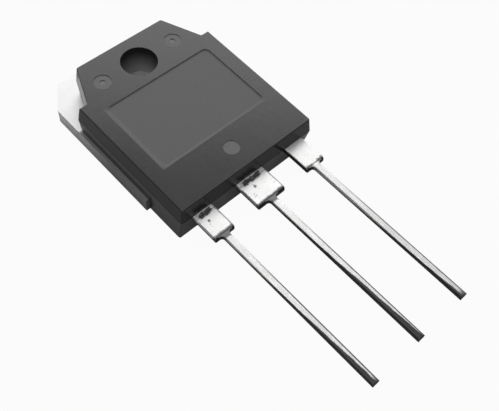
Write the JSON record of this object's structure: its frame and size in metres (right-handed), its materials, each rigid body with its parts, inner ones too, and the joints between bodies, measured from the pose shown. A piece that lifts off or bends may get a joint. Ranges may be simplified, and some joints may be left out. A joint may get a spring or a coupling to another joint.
{
  "type": "igbt transistor",
  "caption": "Insulated-gate power transistor: flat moulded body on a metal heat-sink plate with a screw hole, and long straight leads in a row.",
  "frame": {"origin": "centre of the mounting hole, on the flat metal back", "axes": "+Z out of the back's hole towards the moulded face, -Y along the leads, the gate lead on the -X side"},
  "size_m": [0.0158, 0.0401, 0.0049],
  "materials": {
    "epoxy": "satin black moulding compound, slightly shiny on the walls",
    "tinned_copper": "bright tin plating on a copper alloy stamping",
    "silicon": "opaque polished silicon",
    "solder": "dull solder",
    "bond_aluminium": "drawn aluminium wire"
  },
  "bodies": {
    "root": {"molded_body": "epoxy", "collector_frame": "tinned_copper", "gate_lead": "tinned_copper", "emitter_lead": "tinned_copper", "igbt_die": "silicon", "diode_die": "silicon", "igbt_solder": "solder", "diode_solder": "solder", "gate_wire": "bond_aluminium", "emitter_wire_1": "bond_aluminium", "emitter_wire_2": "bond_aluminium", "diode_wire_1": "bond_aluminium", "diode_wire_2": "bond_aluminium"}
  },
  "joints": []
}
